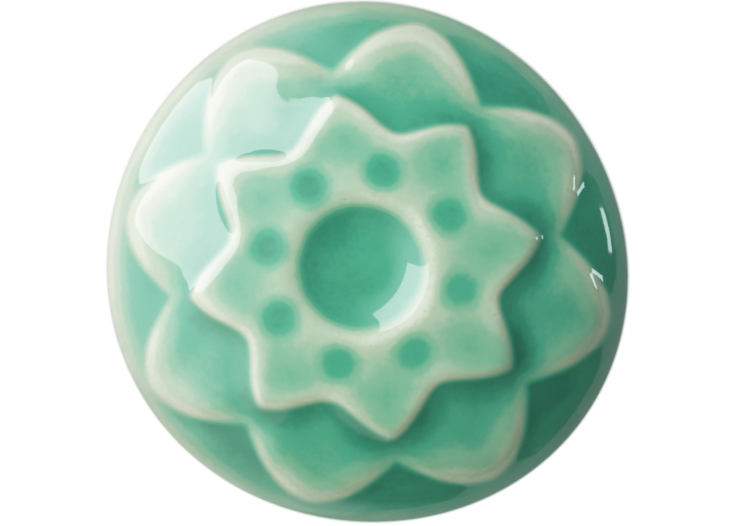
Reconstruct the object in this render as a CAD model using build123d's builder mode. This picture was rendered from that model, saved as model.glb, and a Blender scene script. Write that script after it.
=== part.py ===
"""Ceramic drawer knob with a flower relief, its metal collar, and the stud, washer and nut that hold it.

Millimetres. +Z is up. The knob's axis is Y: the flower faces -Y, and the stud points along +Y through the
drawer front. The origin is on the axis, on the collar's back face, which rests on the drawer front.
Profiles are drawn in the XY plane, with X as the radius, and turned about the Y axis.
"""

import os
from math import cos, pi, radians, sin, sqrt, tan

from build123d import *

# ---- Ceramic head ----
head_diameter = 40.0  # across the widest circle
dome_height = 12.5  # from the widest circle to the crown, before the relief
widest_at = 15.5  # from the drawer front to the widest circle
rim_depth = 3.5  # how far the rim rounds back behind the widest circle
neck_diameter = 18.0
cove_radius = 5.0  # between the neck and the underside of the rim
foot_diameter = 20.0
foot_height = 2.2  # straight wall of the foot, which the collar holds

# ---- Flower relief on the dome ----
petal_count = 8
flower_turn = -12.7  # angle of the first petal's tip from +X, in degrees
petal_step = 1.0  # petals above the dome
petal_tip_radius = 18.5
petal_shoulder_radius = 16.8
petal_shoulder_angle = 11.8  # either side of the petal's tip, in degrees
petal_valley_radius = 14.6
petal_valley_round = 0.8
petal_tip_round = 1.2
star_step = 1.1  # star above the petals
star_tip_radius = 13.2
star_valley_radius = 10.2
star_tip_round = 0.5
star_valley_round = 1.4
edge_growth = 0.6  # share of a step that a raised layer also grows outwards
dimple_ring_radius = 7.45
dimple_diameter = 2.4
dimple_depth = 0.45
recess_diameter = 9.6  # round recess in the middle, at the star's surface
recess_floor_diameter = 7.4
recess_depth = 1.6

# ---- Socket in the foot, and what is set in it ----
socket_diameter = 11.0
socket_depth = 15.0
insert_across_flats = 7.0
insert_length = 12.0
insert_bore_depth = 10.5
insert_groove_width = 1.6
insert_groove_depth = 0.6
insert_recess = 0.2  # the insert's mouth below the foot's face

# ---- Stud ----
stud_diameter = 4.0  # M4 x 0.7
thread_pitch = 0.7
thread_clearance = 0.05  # radial, between a male and a female thread
stud_length = 45.0
stud_engagement = 9.0  # thread inside the insert
shank_end = 11.0  # plain shank, from the drawer front to here
stud_chamfer = 0.45

# ---- Collar ----
collar_sheet = 0.8
collar_height = 2.8
collar_fit = 0.3  # radial gap round the foot
collar_flange = 1.2  # lip that turns out round the top edge
collar_hole_clearance = 0.25  # radial, round the stud
collar_corner = 0.5
collar_lip_round = 0.3

# ---- Washer and nut ----
board_thickness = 18.0  # drawer front that the nut is run up to
washer_diameter = 12.0
washer_hole_clearance = 0.15  # radial, round the stud
washer_thickness = 1.0
nut_across_flats = 7.0
nut_height = 3.2
nut_chamfer_angle = 30.0
nut_mouth_clearance = 0.2  # radial, of the countersink at each end of the thread

# ---- Worked out ----
head_radius = head_diameter / 2
neck_radius = neck_diameter / 2
foot_radius = foot_diameter / 2
foot_face = -collar_sheet  # the foot stands on the inside of the collar
widest = -widest_at
crown = widest - dome_height
underside = widest + rim_depth
cove_end = underside + cove_radius
foot_top = foot_face - foot_height
stud_radius = stud_diameter / 2
thread_radius = stud_radius - 3 * sqrt(3) / 16 * thread_pitch  # threads are cylinders at the pitch diameter
female_thread_radius = thread_radius + thread_clearance
insert_mouth = foot_face - insert_recess
stud_front = insert_mouth - stud_engagement
stud_back = stud_front + stud_length
washer_back = board_thickness + washer_thickness
nut_back = washer_back + nut_height
cutter_length = -crown + 2 * (petal_step + star_step)  # from the drawer front to well past the relief
FRONT = Plane.XZ  # faces -Y, with X to the right and Z up


def polar(radius, degrees):
    """A point on the front plane, from its distance and angle about the knob's axis."""
    return (radius * cos(radians(degrees)), radius * sin(radians(degrees)))


def tip_angles():
    """The angle of each petal's tip. The dimples share it, and the star's tips lie midway between."""
    return [flower_turn + 360 / petal_count * k for k in range(petal_count)]


def dome_with(step):
    """Half outline of the dome grown by a relief step, as a closed face to turn about Y."""
    across = head_radius + step * edge_growth
    up = dome_height + step
    with BuildSketch(Plane.XY) as half:
        with BuildLine():
            arc = EllipticalCenterArc((0, widest), across, up, start_angle=270, arc_size=90)
            Polyline(arc @ 1, (0, widest), arc @ 0)
        make_face()
    return half.sketch


# ---- Relief layers, each a grown dome kept only inside its outline ----
half_petal = 180 / petal_count
with BuildSketch(FRONT) as petal_outline:
    with BuildLine():
        for angle in tip_angles():
            tip = polar(petal_tip_radius, angle)
            for side in (-1, 1):
                valley = polar(petal_valley_radius, angle + side * half_petal)
                shoulder = polar(petal_shoulder_radius, angle + side * petal_shoulder_angle)
                ThreePointArc(valley, shoulder, tip)
    make_face()
    middle = (petal_tip_radius + petal_valley_radius) / 2
    tips = [v for v in petal_outline.vertices() if Vector(v).length > middle]
    fillet(tips, petal_tip_round)
    valleys = [v for v in petal_outline.vertices() if Vector(v).length < middle]
    fillet(valleys, petal_valley_round)

with BuildPart() as petal_layer:
    add(dome_with(petal_step))
    revolve(axis=Axis.Y)
    extrude(petal_outline.sketch, amount=cutter_length, mode=Mode.INTERSECT)

star_points = []
for angle in tip_angles():
    star_points += [polar(star_valley_radius, angle), polar(star_tip_radius, angle + half_petal)]
with BuildSketch(FRONT) as star_outline:
    with BuildLine():
        Polyline(star_points, close=True)
    make_face()
    middle = (star_tip_radius + star_valley_radius) / 2
    tips = [v for v in star_outline.vertices() if Vector(v).length > middle]
    fillet(tips, star_tip_round)
    valleys = [v for v in star_outline.vertices() if Vector(v).length < middle]
    fillet(valleys, star_valley_round)

relief_step = petal_step + star_step
with BuildPart() as star_layer:
    add(dome_with(relief_step))
    revolve(axis=Axis.Y)
    extrude(star_outline.sketch, amount=cutter_length, mode=Mode.INTERSECT)

# ---- Ceramic head ----
with BuildPart() as ceramic_head:
    with BuildSketch(Plane.XY):
        with BuildLine():
            dome = EllipticalCenterArc((0, widest), head_radius, dome_height, start_angle=270, arc_size=90)
            rim = EllipticalCenterArc((head_radius - rim_depth, widest), rim_depth, rim_depth, arc_size=90)
            under = Line(rim @ 1, (neck_radius + cove_radius, underside))
            cove = RadiusArc(under @ 1, (neck_radius, cove_end), cove_radius)
            flare = Line(cove @ 1, (foot_radius, foot_top))
            Polyline(flare @ 1, (foot_radius, foot_face), (0, foot_face), dome @ 0)
        make_face()
    revolve(axis=Axis.Y)
    add(petal_layer.part)
    add(star_layer.part)
    # Recess in the middle of the flower: a cone with a flat floor, sunk from the star's crown.
    star_crown = crown - relief_step
    recess_floor = star_crown + recess_depth
    with BuildSketch(Plane.XY):
        Polygon(
            (0, recess_floor),
            (recess_floor_diameter / 2, recess_floor),
            (recess_diameter / 2, star_crown),
            (recess_diameter / 2, star_crown - recess_depth),
            (0, star_crown - recess_depth),
            align=None,
        )
    revolve(axis=Axis.Y, mode=Mode.SUBTRACT)
    # Dimples: shallow bowls of one ball, in a ring between the recess and the star's valleys.
    star_across = head_radius + relief_step * edge_growth
    star_up = dome_height + relief_step
    ring_height = widest - star_up * (1 - (dimple_ring_radius / star_across) ** 2) ** 0.5
    ball_radius = ((dimple_diameter / 2) ** 2 + dimple_depth**2) / (2 * dimple_depth)
    with Locations(Plane.XZ.offset(-ring_height + ball_radius - dimple_depth)):
        with PolarLocations(dimple_ring_radius, petal_count, start_angle=flower_turn):
            Sphere(ball_radius, mode=Mode.SUBTRACT)
    # Socket for the insert and its cement, in the foot.
    with BuildSketch(Plane.XZ.offset(-foot_face)):
        Circle(socket_diameter / 2)
    extrude(amount=socket_depth, mode=Mode.SUBTRACT)
ceramic_head.part.label = "ceramic_head"

# ---- Threaded insert: a brass hexagon with a blind bore, keyed into the cement by a turned groove ----
with BuildPart() as threaded_insert:
    with BuildSketch(Plane.XZ.offset(-insert_mouth)):
        RegularPolygon(insert_across_flats / 2, 6, major_radius=False)
    extrude(amount=insert_length)
    with BuildSketch(Plane.XZ.offset(-insert_mouth + (insert_length - insert_groove_width) / 2)):
        Circle(insert_across_flats)
        Circle(insert_across_flats / 2 - insert_groove_depth, mode=Mode.SUBTRACT)
    extrude(amount=insert_groove_width, mode=Mode.SUBTRACT)
    with BuildSketch(Plane.XZ.offset(-insert_mouth)):
        Circle(female_thread_radius)
    extrude(amount=insert_bore_depth, mode=Mode.SUBTRACT)
threaded_insert.part.label = "threaded_insert"

# ---- Setting cement: it fills the socket round and behind the insert, and leaves the insert's bore free ----
with BuildPart() as setting_cement:
    with BuildSketch(Plane.XZ.offset(-foot_face)):
        Circle(socket_diameter / 2)
    extrude(amount=socket_depth)
    with BuildSketch(Plane.XZ.offset(-foot_face)):
        Circle(female_thread_radius)
    extrude(amount=insert_recess + insert_bore_depth, mode=Mode.SUBTRACT)
    add(threaded_insert.part, mode=Mode.SUBTRACT)
setting_cement.part.label = "setting_cement"

# ---- Collar: a pressed cup that holds the foot, with a lip round its open edge ----
collar_hole = stud_radius + collar_hole_clearance
cup_inside = foot_radius + collar_fit
cup_outside = cup_inside + collar_sheet
lip_radius = cup_outside + collar_flange
with BuildPart() as base_collar:
    with BuildSketch(Plane.XY):
        with BuildLine():
            Polyline(
                (collar_hole, 0),
                (cup_outside, 0),
                (cup_outside, -collar_height + collar_sheet),
                (lip_radius, -collar_height + collar_sheet),
                (lip_radius, -collar_height),
                (cup_inside, -collar_height),
                (cup_inside, -collar_sheet),
                (collar_hole, -collar_sheet),
                close=True,
            )
        make_face()
    revolve(axis=Axis.Y)
    back_edge = base_collar.edges().filter_by(GeomType.CIRCLE).group_by(Axis.Y)[-1].sort_by(SortBy.RADIUS)[-1]
    fillet(back_edge, collar_corner)
    lip_edges = base_collar.edges().filter_by(GeomType.CIRCLE).group_by(SortBy.RADIUS)[-1]
    fillet(lip_edges, collar_lip_round)
base_collar.part.label = "base_collar"

# ---- Stud: threaded at both ends, with a plain shank where it passes through the board ----
with BuildPart() as threaded_stud:
    with BuildSketch(Plane.XY):
        Polygon(
            (0, stud_front),
            (thread_radius - stud_chamfer, stud_front),
            (thread_radius, stud_front + stud_chamfer),
            (thread_radius, 0),
            (stud_radius, 0),
            (stud_radius, shank_end),
            (thread_radius, shank_end),
            (thread_radius, stud_back - stud_chamfer),
            (thread_radius - stud_chamfer, stud_back),
            (0, stud_back),
            align=None,
        )
    revolve(axis=Axis.Y)
threaded_stud.part.label = "threaded_stud"

# ---- Washer ----
with BuildPart() as plain_washer:
    with BuildSketch(Plane.XZ.offset(-washer_back)):
        Circle(washer_diameter / 2)
        Circle(stud_radius + washer_hole_clearance, mode=Mode.SUBTRACT)
    extrude(amount=washer_thickness)
plain_washer.part.label = "plain_washer"

# ---- Nut: a hexagon whose corners a cone has turned off at both ends ----
nut_flat = nut_across_flats / 2
nut_corner = nut_flat / cos(pi / 6)
corner_drop = (nut_corner - nut_flat) * tan(radians(nut_chamfer_angle))
nut_mouth = stud_radius + nut_mouth_clearance
mouth_depth = nut_mouth - female_thread_radius
with BuildPart() as hex_nut:
    with BuildSketch(Plane.XZ.offset(-nut_back)):
        RegularPolygon(nut_flat, 6, major_radius=False)
    extrude(amount=nut_height)
    with BuildSketch(Plane.XY):
        Polygon(
            (0, washer_back),
            (nut_flat, washer_back),
            (nut_corner, washer_back + corner_drop),
            (nut_corner, nut_back - corner_drop),
            (nut_flat, nut_back),
            (0, nut_back),
            align=None,
        )
    revolve(axis=Axis.Y, mode=Mode.INTERSECT)
    with BuildSketch(Plane.XY):
        Polygon(
            (0, washer_back),
            (nut_mouth, washer_back),
            (female_thread_radius, washer_back + mouth_depth),
            (female_thread_radius, nut_back - mouth_depth),
            (nut_mouth, nut_back),
            (0, nut_back),
            align=None,
        )
    revolve(axis=Axis.Y, mode=Mode.SUBTRACT)
hex_nut.part.label = "hex_nut"

# ---- Files, one to a piece ----
os.makedirs("parts", exist_ok=True)
for piece in (ceramic_head, setting_cement, threaded_insert, base_collar, threaded_stud, plain_washer, hex_nut):
    export_step(piece.part, f"parts/{piece.part.label}.step")
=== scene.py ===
"""A glazed ceramic drawer knob with a flower relief, dressed over its CAD frame.

The knob's axis is Y. The flower faces -Y, +Z is up, and the stud points along +Y. Sizes here are in
millimetres, and become metres where a mesh, a light or the camera is made. Angles on the face are in
degrees, from +X towards +Z, as they are seen from the front.
"""

import bpy
import numpy as np
from mathutils import Matrix, Vector


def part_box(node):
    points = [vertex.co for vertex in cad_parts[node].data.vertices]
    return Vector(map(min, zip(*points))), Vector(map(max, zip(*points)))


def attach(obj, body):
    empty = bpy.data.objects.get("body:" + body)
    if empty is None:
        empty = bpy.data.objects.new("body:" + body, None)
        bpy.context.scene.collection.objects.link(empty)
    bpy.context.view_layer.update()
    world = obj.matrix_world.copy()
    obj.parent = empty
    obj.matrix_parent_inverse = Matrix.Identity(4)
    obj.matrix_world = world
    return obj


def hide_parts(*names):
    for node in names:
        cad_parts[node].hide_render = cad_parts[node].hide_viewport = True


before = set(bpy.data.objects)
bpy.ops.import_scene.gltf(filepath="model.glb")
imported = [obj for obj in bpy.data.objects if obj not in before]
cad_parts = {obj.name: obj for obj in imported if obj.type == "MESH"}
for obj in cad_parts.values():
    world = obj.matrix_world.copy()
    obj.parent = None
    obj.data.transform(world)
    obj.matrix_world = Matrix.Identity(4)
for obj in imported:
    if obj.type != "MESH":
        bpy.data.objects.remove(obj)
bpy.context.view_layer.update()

MM = 0.001

# ---- Head: the CAD profile, which the sculpted head keeps ----
head_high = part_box("ceramic_head")[1]
HEAD_RADIUS = head_high.x / MM
FOOT_FACE = head_high.y / MM
WIDEST = FOOT_FACE - 14.7  # Y of the widest circle
DOME_HEIGHT = 12.5
RIM_DEPTH = 3.5
NECK_RADIUS = 9.0
COVE_RADIUS = 5.0
FOOT_RADIUS = 10.0
FOOT_HEIGHT = 2.2
FOOT_ROUND = 0.4
SOCKET_RADIUS = 5.5
SOCKET_DEPTH = 15.0
EDGE_GROWTH = 0.6  # share of a relief step that also goes outwards
RIM_WAVE = 0.2  # height of each of the two waves that put the hand-made rim out of round
STILL_ROUND = 11.0  # radius inside which those waves change nothing

# ---- Flower: eight petals, pressed by hand into a worn mould, so no two are the same ----
PETALS = 8
FIRST_PETAL = -12.7
PETAL_LEAN = (-0.3, -0.8, -0.3, -0.3, 0.7, -2.8, -1.3, -0.8)  # degrees off an even spacing
PETAL_REACH = (18.5, 18.5, 18.4, 18.4, 18.3, 18.5, 18.3, 18.4)
NOTCH_REACH = 14.7  # radius of the notch between two petals
NOTCH_SPREAD = (2.4, 2.4, 2.5, 2.4, 3.4, 2.4, 2.4, 2.4)
NOTCH_MIDDLE = 0.2  # how far outside the notch its glaze pools most
PETAL_STEP = 0.82
PETAL_DISH = 0.42
STAR_LEAN = (-0.1, -0.7, -0.2, 0.4, -0.1, -2.0, -0.3, 0.7)
STAR_REACH = (13.4, 13.1, 13.1, 13.4, 13.3, 13.2, 13.1, 13.4)
STAR_NOTCH = 10.35
STAR_STEP = 0.95
STAR_DISH = 0.06
STAR_LIFT = 0.3  # how far the star points turn up off the dome
POOL_RING = 9.7  # where glaze gathers inside each star point
POOL_WIDTH = 1.7
DIMPLE_LEAN = (-0.1, -0.3, 1.9, 2.0, 0.6, -1.7, -2.4, -1.9)
DIMPLE_RING = 7.4
DIMPLE_RADIUS = 2.2
DIMPLE_DEPTH = 0.05  # of what the glaze leaves unfilled
RECESS_CENTRE = (-0.28, 0.08)  # a little off the flower's middle
RECESS_RADIUS = 6.0
RECESS_FLOOR_RADIUS = 2.6
RECESS_DEPTH = 1.85
LIP_RADIUS = 5.45
LUMP_HEIGHT = 0.04
LUMP_LENGTH = 6.0
MOULD_WEAR = 0.27  # blur that the worn mould leaves
CORNER_REACH = 0.9  # how far the glaze fills an inside corner
CORNER_START = 0.06
GLAZE_SKIN = 0.15  # blur that the glaze adds
SWELL_PLACE = (15, 120)  # radius and angle of a drip of glaze, which bites into the window's reflection
SWELL_HEIGHT = 0.24
SWELL_WIDTH = 1.5

CELL = 0.1  # spacing of the relief's grid


def smooth(low, high, x):
    """0 below low, 1 above high, and a smooth rise between."""
    t = np.clip((x - low) / (high - low), 0, 1)
    return t * t * (3 - 2 * t)


def hump(x, width):
    """1 at 0, falling away on both sides."""
    return np.exp(-((x / width) ** 2))


# ---- Relief as a height over the dome, on a square grid ----
half = int(np.ceil((HEAD_RADIUS + 1) / CELL))
grid_axis = np.arange(-half, half + 1) * CELL
GX, GZ = np.meshgrid(grid_axis, grid_axis, indexing="ij")
GR = np.hypot(GX, GZ)


def blurred(field, sigma):
    """The field after a Gaussian blur, sigma in millimetres."""
    reach = int(np.ceil(3 * sigma / CELL))
    steps = np.arange(-reach, reach + 1)
    kernel = np.exp(-((steps * CELL / sigma) ** 2) / 2)
    kernel /= kernel.sum()
    for axis in (0, 1):
        pads = [(0, 0), (0, 0)]
        pads[axis] = (reach, reach)
        padded = np.pad(field, pads, mode="edge")
        size = field.shape[axis]
        field = sum(
            weight * np.take(padded, range(k, k + size), axis=axis)
            for k, weight in enumerate(kernel)
        )
    return field


def sampled(field, x, z):
    """The field at any points, by cubic interpolation."""
    u, v = x / CELL + half, z / CELL + half
    i, j = np.floor(u).astype(int), np.floor(v).astype(int)
    a, b = u - i, v - j

    def weights(t):
        return (
            ((2 - t) * t - 1) * t / 2,
            ((3 * t - 5) * t * t + 2) / 2,
            ((4 - 3 * t) * t + 1) * t / 2,
            (t - 1) * t * t / 2,
        )

    total = 0
    for p, across in enumerate(weights(a)):
        for q, up in enumerate(weights(b)):
            total = total + across * up * field[i + p - 1, j + q - 1]
    return total


def outline(angles, reaches, notch, rise):
    """A closed curve that reaches out at eight angles, with notches midway.
    rise shapes its way from notch to tip."""
    theta = np.linspace(0, 360, 1200, endpoint=False)
    radius = np.zeros_like(theta)
    for k in range(PETALS):
        before, tip, after = angles[k - 1], angles[k], angles[(k + 1) % PETALS]
        turn = (theta - tip + 180) % 360 - 180
        half_before = ((tip - before) % 360) / 2
        half_after = ((after - tip) % 360) / 2
        width = np.where(turn < 0, half_before, half_after)
        inside = np.abs(turn) <= width
        nearness = 1 - np.abs(turn) / width
        radius = np.where(inside, notch + (reaches[k] - notch) * rise(np.clip(nearness, 0, 1)), radius)
    return radius * np.cos(np.radians(theta)), radius * np.sin(np.radians(theta)), radius


def distance_inside(curve):
    """Distance from the grid's points to a closed curve: positive inside, negative outside."""
    cx, cz, reach = curve
    px, pz = GX.ravel(), GZ.ravel()
    found = np.empty(px.size)
    count = cx.size
    for start in range(0, px.size, 8192):
        part = slice(start, start + 8192)
        x, z = px[part], pz[part]
        near = ((x[:, None] - cx) ** 2 + (z[:, None] - cz) ** 2).argmin(1)
        best = np.full(x.size, np.inf)
        for first in (near - 1, near):
            ax, az = cx[first % count], cz[first % count]
            bx, bz = cx[(first + 1) % count] - ax, cz[(first + 1) % count] - az
            t = np.clip(((x - ax) * bx + (z - az) * bz) / (bx * bx + bz * bz), 0, 1)
            best = np.minimum(best, np.hypot(x - ax - t * bx, z - az - t * bz))
        found[part] = best
    theta = np.degrees(np.arctan2(pz, px)) % 360
    limit = np.interp(theta, np.arange(count + 1) * 360 / count, np.append(reach, reach[0]))
    found[np.hypot(px, pz) > limit] *= -1
    return found.reshape(GX.shape)


def ripples(x, y, z, length, seed, waves=14):
    """Soft lumps of about that length and of height 1, from a few sine waves."""
    rng = np.random.default_rng(seed)
    total = np.zeros_like(x)
    for _ in range(waves):
        wave = rng.normal(size=3)
        wave *= 2 * np.pi / (length * rng.uniform(0.7, 1.5)) / np.linalg.norm(wave)
        total += np.sin(wave[0] * x + wave[1] * y + wave[2] * z + rng.uniform(0, 2 * np.pi))
    return total / np.sqrt(waves)


def softened(height):
    """The height where it is above 0, and 0 below, with a gentle start."""
    return np.clip(height, 0, None) ** 2 / (np.clip(height, 0, None) + 0.04)


def petal_rise(u):
    """Round at the tip."""
    return 0.88 * np.sin(np.pi / 2 * u) ** 1.25 + 0.12 * u


def star_rise(u):
    """Hollow-sided, with a pointed tip."""
    return 0.65 * smooth(0, 1, u) + 0.35 * u * u


even = FIRST_PETAL + 360 / PETALS * np.arange(PETALS)
petal_angles = even + PETAL_LEAN
star_angles = even + 180 / PETALS + STAR_LEAN
dimple_angles = even + DIMPLE_LEAN

in_petal = distance_inside(outline(petal_angles, PETAL_REACH, NOTCH_REACH, petal_rise))
in_star = distance_inside(outline(star_angles, STAR_REACH, STAR_NOTCH, star_rise))


def point(radius, degrees):
    return radius * np.cos(np.radians(degrees)), radius * np.sin(np.radians(degrees))


def distance_from(x, z):
    return np.hypot(GX - x, GZ - z)


def spots(radius, angles, widths):
    """1 at each of those angles on a ring, fading out round it."""
    total = np.zeros_like(GX)
    for angle, width in zip(angles, widths):
        total = np.maximum(total, hump(distance_from(*point(radius, angle)), width))
    return total


def dimples():
    """1 in the middle of each dimple, fading to 0 at its edge."""
    total = np.zeros_like(GX)
    for angle in dimple_angles:
        distance = distance_from(*point(DIMPLE_RING, angle))
        total = np.maximum(total, 1 - smooth(0.25 * DIMPLE_RADIUS, DIMPLE_RADIUS, distance))
    return total


notches = spots(NOTCH_REACH + NOTCH_MIDDLE, star_angles, NOTCH_SPREAD)
star_pools = spots(POOL_RING, star_angles, [POOL_WIDTH] * PETALS)
dimple_field = dimples()
recess_distance = distance_from(*RECESS_CENTRE)
recess_field = 1 - smooth(RECESS_FLOOR_RADIUS, RECESS_RADIUS, recess_distance)


def petal_relief():
    """Steps up at the outline, lower in the worn notches, and dished in the middle."""
    wall = smooth(-0.65, 0.45, in_petal)
    dish = smooth(0.5, 3.8, in_petal)
    return PETAL_STEP * wall * (1 - 0.72 * notches) - PETAL_DISH * dish * (1 - 0.4 * notches)


def star_relief():
    """Steps up again, and turns up towards its points."""
    wall = smooth(-0.6, 0.35, in_star)
    dish = smooth(0.6, 2.2, in_star)
    outwards = smooth(7.5, 12.5, GR)
    return STAR_STEP * wall - STAR_DISH * dish + STAR_LIFT * outwards * wall


def glazed_relief():
    """The clay's relief, softened by the worn mould and by the glaze over it. It ends before the rim."""
    clay = petal_relief() + star_relief()
    clay -= DIMPLE_DEPTH * dimple_field + RECESS_DEPTH * recess_field
    lumps = LUMP_HEIGHT * ripples(GX, 0 * GX, GZ, LUMP_LENGTH, seed=3)
    clay += lumps * (1 - smooth(18.8, 19.8, GR))
    clay = blurred(clay, MOULD_WEAR)
    clay += softened(blurred(clay, CORNER_REACH) - clay - CORNER_START)
    glazed = blurred(clay, GLAZE_SKIN) * (1 - smooth(19.0, 19.9, GR))
    return glazed + SWELL_HEIGHT * hump(distance_from(*point(*SWELL_PLACE)), SWELL_WIDTH)


relief = glazed_relief()


# ---- Glaze: it runs off what stands out and pools in what lies low, and some sides are painted paler or darker for light and shade. 0 is bare edge, 1 a deep pool ----
def facing(degrees):
    """1 on the side of the face at that angle, -1 on the opposite side."""
    a = np.radians(degrees)
    return (GX * np.cos(a) + GZ * np.sin(a)) / np.maximum(GR, CELL)


uneven = 0.3 * ripples(GX, 0 * GX, GZ, 5.0, seed=21)
from_petal_edge = in_petal + uneven * smooth(0.0, 1.0, in_petal)
from_star_edge = in_star + 0.7 * uneven * smooth(0.0, 1.0, in_star)


def base_glaze_and_painted_light():
    """Deep between the petals, and thin where the rim turns over. The rim is paler still on the left: a
    painted highlight of the light from that side.
    """
    pool = 0.81 - 0.06 * facing(160)
    near_rim = 0.12 * smooth(16.5, 18.6, GR)
    # paler over the rim, and more so on the left as a painted highlight of the light from that side
    rim_thin_and_lit = (0.36 + 0.16 * facing(175)) * smooth(17.9, 19.8, GR)
    return pool - near_rim - rim_thin_and_lit


def petal_glaze_and_painted_light():
    """Thin on the edge, thicker in steps towards the middle, and pooled at the star and in the notches. At
    the star's foot it is darker still to the lower right: painted shadow of the star's wall.
    """
    edge = 0.04
    shoulder = 0.23 * smooth(0.1, 1.0, from_petal_edge)
    dish = 0.19 * smooth(0.8, 2.4, from_petal_edge)
    middle = 0.10 * smooth(1.4, 4.0, from_petal_edge)
    # pooled glaze at the star's foot, with painted shadow of the star's wall to the lower right
    star_pool_and_shadow = (0.25 + 0.06 * facing(330)) * (1 - smooth(0.1, 3.0, -in_star))
    in_notches = 0.26 * notches
    return edge + shoulder + dish + middle + star_pool_and_shadow + in_notches


def star_glaze_and_painted_light():
    """Thin on the edge, between the dimples and on the recess's lip, and pooled in its low places. The lip
    is paler to the lower right, a painted highlight where its inner slope faces the light, and the recess
    is darker to the upper left, painted shade on the wall that faces away from the light.
    """
    edge = 0.05
    shoulder = 0.20 * smooth(0.1, 0.9, from_star_edge)
    dish = 0.12 * smooth(0.6, 2.0, from_star_edge)
    pools = 0.15 * star_pools
    in_dimples = (0.35 + 0.08 * facing(150)) * dimple_field
    between_dimples = 0.09 * hump(GR - 7.0, 2.0) * (1 - dimple_field)
    left_points = 0.08 * facing(160) * smooth(10.5, 12.5, GR)
    # thin on the lip, and thinner to the lower right as a painted highlight where the lip's inner slope
    # faces the light
    lip = (0.19 + 0.10 * facing(335)) * hump(recess_distance - LIP_RADIUS, 0.9)
    star = edge + shoulder + dish + pools + in_dimples - between_dimples - left_points - lip
    # deep pool in the recess, darker to the upper left as painted shade on the wall that faces away from
    # the light
    recess_pool_and_shade = 0.71 + 0.08 * facing(140) * smooth(0.0, 2.5, GR)
    return star + (recess_pool_and_shade - star) * (1 - smooth(4.2, 5.1, recess_distance))


def thickness_and_painted_light():
    """The three joined, with a little more glaze, so a deeper colour, towards the lower right."""
    base = base_glaze_and_painted_light()
    whole = base + (petal_glaze_and_painted_light() - base) * smooth(-0.55, -0.06, in_petal)
    whole += (star_glaze_and_painted_light() - whole) * smooth(-0.3, 0.08, in_star)
    whole += 0.10 * (GX - GZ) / HEAD_RADIUS * smooth(9.5, 13.0, GR)
    return blurred(whole, 0.12)


glaze_and_painted_light = thickness_and_painted_light()


# ---- Meshes ----
def new_object(name, vertices, faces, material, smooth_angle=40):
    """An object from points in millimetres. Edges sharper than the angle stay sharp."""
    mesh = bpy.data.meshes.new(name)
    mesh.from_pydata(np.asarray(vertices) * MM, [], faces)
    mesh.validate()
    mesh.polygons.foreach_set("use_smooth", np.ones(len(mesh.polygons), bool))
    mesh.set_sharp_from_angle(angle=np.radians(smooth_angle))
    mesh.materials.append(material)
    made = bpy.data.objects.new(name, mesh)
    bpy.context.scene.collection.objects.link(made)
    return made


def ring_faces(first, second, count):
    """Quads between two rings of as many points, given the index of each ring's first point."""
    k = np.arange(count)
    after = (k + 1) % count
    return np.stack([first + k, first + after, second + after, second + k], 1).tolist()


def halving_faces(first, second, count):
    """Faces from a ring of count points to a ring of half as many."""
    faces = []
    for k in range(count // 2):
        a, after = 2 * k, (k + 1) % (count // 2)
        faces.append([first + a, first + a + 1, first + (a + 2) % count, second + after, second + k])
    return faces


def arc(centre, radius, start, end, count):
    """Points (radius, y) along an arc, its first left out. Angles are from +X towards +Y."""
    t = np.radians(np.linspace(start, end, count + 1)[1:])
    return [(centre[0] + radius * np.cos(a), centre[1] + radius * np.sin(a)) for a in t]


def line(start, end, count):
    """Points (radius, y) along a line, its first left out."""
    share = np.linspace(0, 1, count + 1)[1:]
    return [(start[0] + (end[0] - start[0]) * s, start[1] + (end[1] - start[1]) * s) for s in share]


def rim_wave(theta):
    """How far the rim stands out of round: an oval and a three-cornered wave. theta is in radians."""
    return -RIM_WAVE * (np.sin(2 * theta) + np.sin(3 * theta))


def hand_shaped(x, y, z):
    """The same points with the rim a little out of round."""
    radius = np.hypot(x, z)
    share = np.clip((radius - STILL_ROUND) / (HEAD_RADIUS - STILL_ROUND), 0, 1) ** 2
    theta = np.arctan2(z, x)
    grow = share * rim_wave(theta)
    return x + np.cos(theta) * grow, y, z + np.sin(theta) * grow


def back_profile():
    """The head's outline from the widest circle round the back into the socket, as points (radius, y)."""
    underside = WIDEST + RIM_DEPTH
    cove_end = underside + COVE_RADIUS
    foot_top = FOOT_FACE - FOOT_HEIGHT
    rim_middle = (HEAD_RADIUS - RIM_DEPTH, WIDEST)
    cove_start = (NECK_RADIUS + COVE_RADIUS, underside)
    socket_floor = (0.5, FOOT_FACE - SOCKET_DEPTH)
    points = arc(rim_middle, RIM_DEPTH, 0, 90, 14)
    points += line(points[-1], cove_start, 3)
    points += arc((cove_start[0], cove_end), COVE_RADIUS, 270, 180, 12)
    points += line(points[-1], (FOOT_RADIUS, foot_top), 5)
    points += line(points[-1], (FOOT_RADIUS, FOOT_FACE - FOOT_ROUND), 2)
    points += arc((FOOT_RADIUS - FOOT_ROUND, FOOT_FACE - FOOT_ROUND), FOOT_ROUND, 0, 90, 4)
    points += line(points[-1], (SOCKET_RADIUS, FOOT_FACE), 2)
    points += line(points[-1], (SOCKET_RADIUS, FOOT_FACE - SOCKET_DEPTH), 6)
    points += line(points[-1], socket_floor, 3)
    return points


DOME_CELLS = 280  # across the dome's grid
STEEP_RINGS = 14  # of the grid's rings, closer together where the dome drops to the rim
STEEP_START = 0.95 * HEAD_RADIUS
HALVED_RINGS = (5, 10)  # of the back's rings, those that take half the points of the ring before


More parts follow.
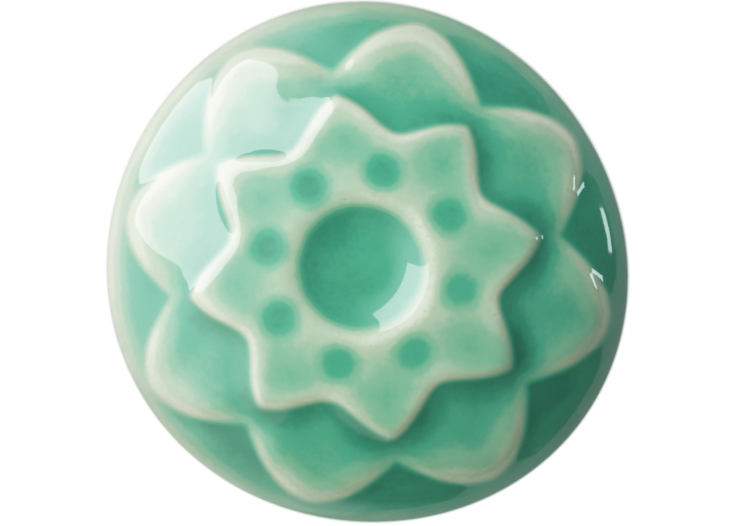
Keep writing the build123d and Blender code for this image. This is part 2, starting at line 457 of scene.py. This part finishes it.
def dome_grid():
    """X and Z of the dome's points: a square grid whose rings of squares are bent into circles."""
    u, v = np.meshgrid(*2 * [np.linspace(-1, 1, DOME_CELLS + 1)], indexing="ij")
    wide = np.abs(u) > np.abs(v)
    longer = np.where(wide, u, v)
    shorter = np.where(wide, v, u)
    turn = np.pi / 4 * shorter / np.where(longer == 0, 1, longer)
    theta = np.where(wide, turn, np.pi / 2 - turn) + np.where(longer < 0, np.pi, 0)
    rings = DOME_CELLS // 2
    even = np.linspace(0, STEEP_START, rings - STEEP_RINGS + 1)
    slopes = np.linspace(np.arcsin(STEEP_START / HEAD_RADIUS), np.pi / 2, STEEP_RINGS + 1)
    levels = np.concatenate([even, HEAD_RADIUS * np.sin(slopes[1:])])
    radius = np.interp(np.abs(longer) * rings, np.arange(rings + 1), levels)
    return (radius * np.cos(theta)).ravel(), (radius * np.sin(theta)).ravel()


def glaze_on_back(radius, y, angle):
    """How thick the glaze is on a ring of the back, and where it is bare: the foot and the socket."""
    behind = y - WIDEST
    thickness = 0.22 + 0.42 * smooth(0, 3.4, behind) + 0.22 * hump(behind - 6.0, 3.0)
    dip_line = FOOT_FACE - FOOT_HEIGHT - 0.6 + 0.15 * np.sin(3 * angle) + 0.1 * np.sin(7 * angle + 1)
    in_socket = radius <= SOCKET_RADIUS + 0.01
    bare = np.ones_like(angle) if in_socket else smooth(-0.1, 0.1, y - dip_line)
    return np.full_like(angle, thickness), bare


def sculpted_head(material):
    """The head: a dome on a grid that fits its circle, the relief on it, and rings round the back."""
    x, z = dome_grid()
    height = sampled(relief, x, z)
    share = np.clip(np.hypot(x, z) / (HEAD_RADIUS + EDGE_GROWTH * height), 0, 1)
    y = WIDEST - (DOME_HEIGHT + height) * np.sqrt(1 - share**2)
    parts = [(x, y, z, sampled(glaze_and_painted_light, x, z), np.zeros_like(x))]

    index = np.arange((DOME_CELLS + 1) ** 2).reshape(DOME_CELLS + 1, DOME_CELLS + 1)
    corners = [index[:-1, :-1], index[1:, :-1], index[1:, 1:], index[:-1, 1:]]
    faces = np.stack([c.ravel() for c in corners], 1).tolist()
    edge = np.concatenate([index[-1, :-1], index[::-1, -1][:-1], index[0, ::-1][:-1], index[:-1, 0]])

    count, total = edge.size, x.size
    for k, (radius, ring_y) in enumerate(back_profile()):
        if k in HALVED_RINGS:
            count //= 2
        angle = -np.pi / 4 + 2 * np.pi * np.arange(count) / count
        ring = (radius * np.cos(angle), np.full(count, ring_y), radius * np.sin(angle))
        parts.append((*ring, *glaze_on_back(radius, ring_y, angle)))
        if k == 0:
            own = total + np.arange(count)
            faces += np.stack([edge, np.roll(edge, -1), np.roll(own, -1), own], 1).tolist()
        elif k in HALVED_RINGS:
            faces += halving_faces(previous, total, count * 2)
        else:
            faces += ring_faces(previous, total, count)
        previous, total = total, total + count
    faces.append(list(range(previous, previous + count)))

    x, y, z, glaze, bare = (np.concatenate([part[k] for part in parts]) for k in range(5))
    glaze = glaze + 0.03 * ripples(x, y, z, 5.0, seed=11)
    x, y, z = hand_shaped(x, y, z)
    head = new_object("glazed_head", np.stack([x, y, z], 1), faces, material, smooth_angle=80)
    # the glaze attribute holds the glaze's thickness together with painted light and shade
    for name, values in (("glaze", glaze), ("bare", bare)):
        attribute = head.data.attributes.new(name, "FLOAT", "POINT")
        attribute.data.foreach_set("value", values.astype(np.float32))
    return head


def column_angles(columns):
    return 2 * np.pi * np.arange(columns) / columns


def turned(name, rings, columns, material, ends="joined"):
    """A piece from rings of (radius, y), each a number or an array round the axis.
    ends: joined links the last ring to the first, and closed caps both."""
    theta = column_angles(columns)
    points, faces = [], []
    for radius, y in rings:
        radius = np.broadcast_to(radius, columns)
        ring = (radius * np.cos(theta), np.broadcast_to(y, columns), radius * np.sin(theta))
        points.append(np.stack(ring, 1))
    for k in range(len(rings) - 1):
        faces += ring_faces(k * columns, (k + 1) * columns, columns)
    last = (len(rings) - 1) * columns
    if ends == "joined":
        faces += ring_faces(last, 0, columns)
    else:
        faces.append(list(range(last, last + columns)))
        faces.append(list(range(columns))[::-1])
    return new_object(name, np.concatenate(points), faces, material)


# ---- Threads and hardware ----
THREAD_PITCH = 0.7
THREAD_CREST = 1.97
THREAD_ROOT = 1.60
THREAD_GAP = 0.05  # radial, between the stud's thread and a nut's
RINGS_PER_PITCH = 14
SHANK = (0.0, 11.0)  # Y of the ends of the stud's plain part
SHANK_CORNER = 0.12
THREAD_RUNOUT = 0.9
STUD_CHAMFER = 0.45
STUD_COLUMNS = 72
NUT_COLUMNS = 240
NUT_MOUTH = 2.2
NUT_UNDERSIZE = 0.02  # how far its flats stay inside the CAD nut's
NUT_CHAMFER = 30  # degrees
INSERT_COLUMNS = 144
INSERT_MOUTH = 2.1
INSERT_BORE = 10.5
GROOVE_WIDTH = 1.6
GROOVE_DEPTH = 0.6
WASHER_HOLE = 2.15
WASHER_COLUMNS = 144
COLLAR_HOLE = 2.25
COLLAR_COLUMNS = 192
COLLAR_SHEET = 0.8
FOOT_CLEARANCE = 0.3  # between the head's foot and the collar's cup


def thread_radius(y, theta, grow=0.0):
    """Radius of a right-hand thread: flat crests, sloped flanks and rounded roots.
    theta runs from +X to +Z, a left turn about +Y, so the crests go back along Y as it grows."""
    phase = (y / THREAD_PITCH + theta / (2 * np.pi)) % 1
    away = np.abs(phase - 0.5) * 2
    form = 1 - smooth(0.12, 0.88, away)
    return THREAD_ROOT + grow + (THREAD_CREST - THREAD_ROOT) * form


def stud(material):
    """The stud: rolled threads with chamfered ends, and a plain shank between them."""
    low, high = (corner.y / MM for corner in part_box("threaded_stud"))
    shank_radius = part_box("threaded_stud")[1].x / MM
    shank_start, shank_end = SHANK
    corner_radius = shank_radius - SHANK_CORNER
    end_radius = THREAD_CREST - STUD_CHAMFER
    theta = column_angles(STUD_COLUMNS)
    rings = []

    def threaded(start, end, into_shank):
        """A stretch of thread that is chamfered at the stud's end and runs out at the shank."""
        for y in np.arange(start, end, THREAD_PITCH / RINGS_PER_PITCH):
            radius = thread_radius(y, theta)
            from_end = min(y - low, high - y)
            radius = np.minimum(radius, end_radius + max(from_end, 0.0))
            full = smooth(0, THREAD_RUNOUT, abs(y - into_shank))
            rings.append((radius * full + (1 - full) * THREAD_ROOT, y))

    threaded(low, shank_start - 0.05, shank_start)
    rings += [(corner_radius, shank_start), (shank_radius, shank_start + SHANK_CORNER)]
    rings += [(shank_radius, y) for y in np.linspace(shank_start + 1, shank_end - 1, 5)]
    rings += [(shank_radius, shank_end - SHANK_CORNER), (corner_radius, shank_end)]
    threaded(shank_end + 0.05, high, shank_end)
    rings.append((end_radius, high))
    return turned("stud_threads", rings, STUD_COLUMNS, material, ends="closed")


def hexagon(flat, theta, sharpness=70):
    """Radius of a hexagon with slightly rounded corners."""
    faces = [np.maximum(np.cos(theta - np.pi / 2 - k * np.pi / 3), 0) ** sharpness for k in range(6)]
    return flat / sum(faces) ** (1 / sharpness)


def bore_rings(start, end, mouth, theta, steps_down=True):
    """Rings of an internal thread, countersunk at its start, and with steps_down at its end too."""
    rings = []
    count = int(round(abs(end - start) / THREAD_PITCH * RINGS_PER_PITCH))
    for y in np.linspace(start, end, count + 1):
        thread = thread_radius(y, theta, THREAD_GAP)
        depth = min(abs(y - start), abs(y - end)) if steps_down else abs(y - start)
        rings.append((np.maximum(thread, mouth - depth), y))
    return rings


def nut(material):
    """The nut: chamfered hexagon, washer face and internal thread."""
    low, high = (corner.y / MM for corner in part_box("hex_nut"))
    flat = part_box("hex_nut")[1].z / MM
    theta = column_angles(NUT_COLUMNS)
    side = hexagon(flat - NUT_UNDERSIZE, theta)
    washer_face = flat - 0.12
    face_step = 0.03
    bevel = 0.06
    past_face = side - washer_face
    drop = np.maximum(past_face, 0) * np.tan(np.radians(NUT_CHAMFER))

    def end_face(y, inward):
        """From the bore outwards: washer face, chamfer cone, and a small bevel down to the flats."""
        return [
            (NUT_MOUTH + 0.05, y),
            (washer_face - 0.1, y),
            (washer_face, y + inward * face_step),
            (washer_face + 0.35 * past_face, y + inward * (face_step + 0.35 * drop)),
            (side - bevel, y + inward * (drop + 0.02)),
            (side, y + inward * (drop + 0.02 + bevel)),
        ]

    rings = bore_rings(high, low, NUT_MOUTH, theta)
    rings += end_face(low, 1)
    rings += end_face(high, -1)[::-1]
    return turned("nut_hexagon", rings, NUT_COLUMNS, material)


def insert(material):
    """The insert: a hexagon with a turned groove and a blind threaded bore."""
    low, high = (corner.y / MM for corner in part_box("threaded_insert"))
    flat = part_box("threaded_insert")[1].z / MM
    bore_end = high - INSERT_BORE
    groove_start = (low + high - GROOVE_WIDTH) / 2
    groove_end = groove_start + GROOVE_WIDTH
    groove_radius = flat - GROOVE_DEPTH
    edge = 0.25
    theta = column_angles(INSERT_COLUMNS)
    side = hexagon(flat, theta)
    rings = [(0.3, bore_end - 0.6), (1.4, bore_end)]  # the drill's point
    rings += bore_rings(high, bore_end + 0.2, INSERT_MOUTH, theta, steps_down=False)[::-1]
    rings += [(flat - edge, high), (side, high - edge), (side, groove_end)]
    rings += [(groove_radius, groove_end), (groove_radius, groove_start)]
    rings += [(side, groove_start), (side, low + edge), (flat - edge, low)]
    return turned("insert_hexagon", rings, INSERT_COLUMNS, material, ends="closed")


def rounded_section(corners):
    """Points (radius, y) round a section, from its corners and the radius of each: (radius, y, round)."""
    points = []
    count = len(corners)
    for k, (x, y, round_) in enumerate(corners):
        here = Vector((x, y))
        before = (Vector(corners[k - 1][:2]) - here).normalized()
        after = (Vector(corners[(k + 1) % count][:2]) - here).normalized()
        if round_ == 0:
            points.append((x, y))
            continue
        half_turn = before.angle(after) / 2
        reach = round_ / np.tan(half_turn)
        start, end = here + before * reach, here + after * reach
        for t in np.linspace(0, 1, 7):
            bend = start * (1 - t) ** 2 + here * 2 * t * (1 - t) + end * t**2
            points.append((bend.x, bend.y))
    return points


def washer(material):
    """The washer: punched sheet, rounded on one face and sharp on the other."""
    low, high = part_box("plain_washer")
    outer, front, back = high.x / MM, low.y / MM, high.y / MM
    section = [
        (WASHER_HOLE, front, 0.08),
        (WASHER_HOLE, back, 0.18),
        (outer, back, 0.22),
        (outer, front, 0.07),
    ]
    return turned("washer_disc", rounded_section(section), WASHER_COLUMNS, material)


def collar(material):
    """The collar: pressed sheet, so it has one thickness and bends of a real radius."""
    low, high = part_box("base_collar")
    lip, front, back = high.x / MM, low.y / MM, high.y / MM
    cup_inside = FOOT_RADIUS + FOOT_CLEARANCE
    cup_outside = cup_inside + COLLAR_SHEET
    section = [
        (COLLAR_HOLE, back, 0.15),
        (cup_outside, back, 0.75),
        (cup_outside, front + COLLAR_SHEET, 0.12),
        (lip, front + COLLAR_SHEET, 0.3),
        (lip, front, 0.3),
        (cup_inside, front, 0.35),
        (cup_inside, back - COLLAR_SHEET, 0.2),
        (COLLAR_HOLE, back - COLLAR_SHEET, 0.1),
    ]
    return turned("collar_cup", rounded_section(section), COLLAR_COLUMNS, material)


# ---- Materials ----
class Nodes:
    """Short ways to add and join a material's nodes."""

    def __init__(self, name):
        self.material = bpy.data.materials.new(name)
        self.material.use_nodes = True
        self.tree = self.material.node_tree
        self.shader = self.tree.nodes["Principled BSDF"]
        self.place = self.add("ShaderNodeTexCoord").outputs["Object"]

    def add(self, kind, **settings):
        node = self.tree.nodes.new(kind)
        for name, value in settings.items():
            setattr(node, name, value)
        return node

    def join(self, source, target):
        self.tree.links.new(source, target)

    def fixed(self, **values):
        """Sets the shader's own sockets. Underscores stand for spaces."""
        for name, value in values.items():
            self.shader.inputs[name.replace("_", " ")].default_value = value

    def attribute(self, name):
        return self.add("ShaderNodeAttribute", attribute_name=name).outputs["Fac"]

    def noise(self, millimetres, detail=3.0, roughness=0.5, stretch=None):
        node = self.add("ShaderNodeTexNoise")
        node.inputs["Scale"].default_value = 1 / (millimetres * MM)
        node.inputs["Detail"].default_value = detail
        node.inputs["Roughness"].default_value = roughness
        source = self.place
        if stretch:
            mapping = self.add("ShaderNodeMapping")
            mapping.inputs["Scale"].default_value = stretch
            self.join(source, mapping.inputs["Vector"])
            source = mapping.outputs["Vector"]
        self.join(source, node.inputs["Vector"])
        return node.outputs["Fac"]

    def scaled(self, source, from_low, from_high, to_low, to_high):
        node = self.add("ShaderNodeMapRange")
        limits = {"From Min": from_low, "From Max": from_high, "To Min": to_low, "To Max": to_high}
        for name, value in limits.items():
            node.inputs[name].default_value = value
        self.join(source, node.inputs["Value"])
        return node.outputs["Result"]

    def math(self, operation, first, second):
        node = self.add("ShaderNodeMath", operation=operation)
        for socket, value in zip(node.inputs, (first, second)):
            if isinstance(value, (int, float)):
                socket.default_value = value
            else:
                self.join(value, socket)
        return node.outputs["Value"]

    def ramp(self, source, stops):
        node = self.add("ShaderNodeValToRGB")
        node.color_ramp.interpolation = "EASE"
        points = node.color_ramp.elements
        while len(points) < len(stops):
            points.new(0.5)
        for element, (position, colour) in zip(points, stops):
            element.position = position
            element.color = (*colour, 1)
        self.join(source, node.inputs["Fac"])
        return node.outputs["Color"]

    def mixed(self, share, first, second):
        node = self.add("ShaderNodeMix", data_type="RGBA")
        for socket, value in ((node.inputs[6], first), (node.inputs[7], second)):
            if isinstance(value, tuple):
                socket.default_value = (*value, 1)
            else:
                self.join(value, socket)
        self.join(share, node.inputs["Factor"])
        return node.outputs[2]

    def bump(self, height, millimetres, below=None):
        node = self.add("ShaderNodeBump")
        node.inputs["Distance"].default_value = millimetres * MM
        node.inputs["Strength"].default_value = 1.0
        self.join(height, node.inputs["Height"])
        if below:
            self.join(below, node.inputs["Normal"])
        return node.outputs["Normal"]


GLAZE_COLOURS = (
    (0.00, (0.385, 0.435, 0.320)),
    (0.20, (0.240, 0.328, 0.222)),
    (0.42, (0.118, 0.270, 0.170)),
    (0.64, (0.038, 0.215, 0.132)),
    (0.84, (0.018, 0.156, 0.092)),
    (1.00, (0.010, 0.105, 0.062)),
)


def glaze_material():
    """Celadon glaze over a pale body: its colour deepens with its thickness. The glaze attribute also
    carries painted light and shade, which the same ramp shows as paler or deeper colour.
    """
    n = Nodes("celadon_glaze")
    drift = n.scaled(n.noise(2.2, detail=4), 0.3, 0.7, -0.035, 0.035)
    mottle = n.scaled(n.noise(0.45, detail=3), 0.3, 0.7, -0.022, 0.022)
    # the glaze attribute here holds the glaze's thickness together with painted light and shade
    thickness = n.math("ADD", n.math("ADD", n.attribute("glaze"), drift), mottle)
    colour = n.ramp(thickness, GLAZE_COLOURS)
    thin = n.scaled(thickness, 0.15, 0.45, 1.0, 0.15)
    specks = n.math("MULTIPLY", n.scaled(n.noise(0.28, detail=1), 0.71, 0.77, 0.0, 0.45), thin)
    colour = n.mixed(specks, colour, (0.15, 0.14, 0.08))
    bare = n.attribute("bare")
    clay = n.ramp(n.noise(0.5, detail=5), ((0.2, (0.62, 0.56, 0.46)), (0.8, (0.76, 0.71, 0.61))))
    n.join(n.mixed(bare, colour, clay), n.shader.inputs["Base Color"])
    shine = n.scaled(n.noise(3.0), 0.3, 0.7, 0.035, 0.075)
    n.join(n.math("MAXIMUM", shine, n.math("MULTIPLY", bare, 0.85)), n.shader.inputs["Roughness"])
    skin = n.bump(n.noise(1.4, detail=2), 0.006)
    grit = n.math("MULTIPLY", n.noise(0.12, detail=2), bare)
    n.join(n.bump(grit, 0.06, skin), n.shader.inputs["Normal"])
    n.fixed(IOR=1.65, Specular_IOR_Level=0.8)
    return n.material


def metal_material(name, colour, shine, metallic, lines=0.0):
    """Plated or drawn metal, with lathe lines round the axis and faint wear in its shine."""
    n = Nodes(name)
    worn = n.noise(1.6, detail=5)
    darker = tuple(0.93 * c for c in colour)
    n.join(n.ramp(worn, ((0.3, darker), (0.6, colour))), n.shader.inputs["Base Color"])
    n.join(n.scaled(worn, 0.3, 0.7, 0.85 * shine, 1.2 * shine), n.shader.inputs["Roughness"])
    if lines:
        fine = n.noise(0.12, detail=2, stretch=(0.02, 1.0, 0.02))
        n.join(n.bump(fine, lines), n.shader.inputs["Normal"])
    n.fixed(Metallic=metallic)
    return n.material


def cement_material():
    """Grey-white setting cement, porous."""
    n = Nodes("setting_cement")
    n.join(
        n.ramp(n.noise(0.6, detail=8), ((0.3, (0.50, 0.48, 0.44)), (0.7, (0.66, 0.64, 0.60)))),
        n.shader.inputs["Base Color"],
    )
    n.join(n.scaled(n.noise(0.3), 0.3, 0.7, 0.85, 0.97), n.shader.inputs["Roughness"])
    n.join(n.bump(n.noise(0.2, detail=6), 0.05), n.shader.inputs["Normal"])
    return n.material


# ---- Pieces on their bodies ----
celadon = glaze_material()
plated = metal_material("nickel_plate", (0.76, 0.75, 0.73), 0.12, 0.9)
zinc = metal_material("zinc_plated_steel", (0.66, 0.67, 0.69), 0.28, 0.75, lines=0.003)
brass = metal_material("turned_brass", (0.83, 0.61, 0.30), 0.22, 0.9, lines=0.004)

for piece, body, node, slot in (
    (sculpted_head(celadon), "head", "ceramic_head", "glaze"),
    (insert(brass), "head", "threaded_insert", "brass"),
    (collar(plated), "collar", "base_collar", "collar_plate"),
    (stud(zinc), "stud", "threaded_stud", "zinc_steel"),
    (washer(zinc), "washer", "plain_washer", "zinc_steel"),
    (nut(zinc), "nut", "hex_nut", "zinc_steel"),
):
    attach(piece, body)
    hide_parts(node)

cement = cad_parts["setting_cement"]
cement.data.materials.clear()
cement.data.materials.append(cement_material())


# ---- Stage, lights and camera ----
def direction(off_axis, around):
    """A unit vector that leaves the flower's axis by one angle, towards another angle on its face."""
    a, b = np.radians(off_axis), np.radians(around)
    return Vector((np.sin(a) * np.cos(b), -np.cos(a), np.sin(a) * np.sin(b)))


def softbox(name, off_axis, around, distance, size, radiance, colour=(1, 1, 1)):
    """A rectangle of light aimed at the head. Its size is (width round the axis, height along it)."""
    light = bpy.data.lights.new(name, "AREA")
    light.shape = "RECTANGLE"
    light.size, light.size_y = size[0] * MM, size[1] * MM
    light.energy = radiance * np.pi * light.size * light.size_y
    light.color = colour
    lamp = bpy.data.objects.new(name, light)
    back = direction(off_axis, around)
    lamp.location = Vector((0, WIDEST * MM, 0)) + back * distance * MM
    front = Vector((0, -1, 0))
    up = (front - back * front.dot(back)).normalized()
    lamp.rotation_mode = "QUATERNION"
    lamp.rotation_quaternion = Matrix((up.cross(back), up, back)).transposed().to_quaternion()
    lamp.visible_camera = False
    bpy.context.scene.collection.objects.link(lamp)
    return lamp


def studio_lights():
    """A window that shows only in the glaze, a strip for the glint on the rim, and three soft lights."""
    window = softbox("window", 79, 146, 400, (500, 690), radiance=2.75, colour=(1.0, 0.96, 1.02))
    window.visible_diffuse = False
    softbox("side_strip", 114, 9, 420, (62, 34), radiance=3.8, colour=(0.82, 1.0, 1.05))
    for lamp in (
        softbox("key", 36, 98, 600, (520, 520), radiance=7.6, colour=(0.95, 0.99, 1.06)),
        softbox("fill", 56, 240, 600, (600, 600), radiance=3.0, colour=(1.0, 0.99, 0.94)),
        softbox("bounce", 58, 335, 600, (600, 600), radiance=1.1, colour=(0.97, 1.0, 0.92)),
    ):
        lamp.visible_glossy = False


def studio_world():
    """White behind the knob, light from the upper left, and a dim room in front and to the lower right."""
    world = bpy.data.worlds.new("studio")
    world.use_nodes = True
    bpy.context.scene.world = world
    tree = world.node_tree
    background = tree.nodes["Background"]
    background.inputs["Color"].default_value = (1, 1, 1, 1)

    def add(kind, **settings):
        node = tree.nodes.new(kind)
        for name, value in settings.items():
            setattr(node, name, value)
        return node

    def towards(vector):
        """1 in that direction, 0 square to it."""
        node = add("ShaderNodeVectorMath", operation="DOT_PRODUCT")
        node.inputs[1].default_value = vector
        tree.links.new(add("ShaderNodeTexCoord").outputs["Generated"], node.inputs[0])
        return node.outputs["Value"]

    def mapped(source, low, high, start, end):
        """A soft change from start to end, as the source goes from low to high."""
        node = add("ShaderNodeMapRange", interpolation_type="SMOOTHSTEP")
        for name, value in {"From Min": low, "From Max": high, "To Min": start, "To Max": end}.items():
            node.inputs[name].default_value = value
        tree.links.new(source, node.inputs["Value"])
        return node.outputs["Result"]

    def combined(operation, first, second):
        node = add("ShaderNodeMath", operation=operation)
        for socket, value in zip(node.inputs, (first, second)):
            if isinstance(value, (int, float)):
                socket.default_value = value
            else:
                tree.links.new(value, socket)
        return node.outputs["Value"]

    camera_white = 2.4  # enough for a white backdrop behind the knob
    lit_side = mapped(towards(direction(90, 165)), 0.0, 1.0, 0.1, 1.8)
    behind = towards((0, 1, 0))
    halo = mapped(behind, 0.53, 0.56, 0.0, 0.30)
    backdrop = combined("ADD", halo, mapped(behind, 0.86, 0.97, 0.0, 2.0))
    side_wall = mapped(towards((-0.75, 0.35, -0.56)), 0.6, 0.75, 0.0, 0.6)
    room = combined("MAXIMUM", lit_side, combined("MAXIMUM", backdrop, side_wall))
    seen = add("ShaderNodeLightPath").outputs["Is Camera Ray"]
    strength = combined("MAXIMUM", room, combined("MULTIPLY", seen, camera_white))
    tree.links.new(strength, background.inputs["Strength"])


def pale_floor():
    """A round pale floor below the knob. It lets light pass, so that the knob is lit from below too."""
    height = -48.0
    radius = 170.0
    middle_y = 8.0
    corners = 96
    n = Nodes("pale_floor")
    pale = n.ramp(n.noise(40), ((0.3, (0.86, 0.86, 0.85)), (0.7, (0.90, 0.90, 0.89))))
    n.join(pale, n.shader.inputs["Base Color"])
    n.fixed(Roughness=0.6)
    edge = [(radius * np.cos(a), radius * np.sin(a) + middle_y, height) for a in column_angles(corners)]
    floor = new_object("floor", edge, [list(range(corners))], n.material)
    floor.visible_glossy = False
    floor.visible_diffuse = False
    floor.visible_shadow = False


def photo_camera():
    """A long lens, almost square on to the flower."""
    lens = 1000.0
    frame_width = 56.05  # what the picture spans at the widest circle
    tilt = 1.4
    swing = 1.0
    camera = bpy.data.cameras.new("camera")
    camera.lens = lens
    seer = bpy.data.objects.new("camera", camera)
    distance = frame_width * lens / camera.sensor_width
    a, e = np.radians(swing), np.radians(tilt)
    back = Vector((np.sin(a) * np.cos(e), -np.cos(a) * np.cos(e), np.sin(e)))
    aim = Vector((0.04, WIDEST, 0.09))
    seer.location = (aim + back * distance) * MM
    seer.rotation_mode = "QUATERNION"
    seer.rotation_quaternion = (-back).to_track_quat("-Z", "Y")
    camera.clip_start, camera.clip_end = 0.01, 10
    bpy.context.scene.collection.objects.link(seer)
    bpy.context.scene.camera = seer


def film_response():
    """Plain colour up to half of white, and a soft shoulder over it, as a camera gives."""
    settings = bpy.context.scene.view_settings
    settings.view_transform = "Standard"
    settings.use_curve_mapping = True
    white = 2.3
    curves = settings.curve_mapping
    curves.white_level = (white, white, white)
    points = curves.curves[3].points
    for scene_light, shown in ((0.25, 0.25), (0.5, 0.5), (0.83, 0.73), (1.15, 0.87), (1.6, 0.96)):
        points.new(scene_light / white, shown)
    curves.update()


studio_lights()
studio_world()
pale_floor()
photo_camera()
film_response()
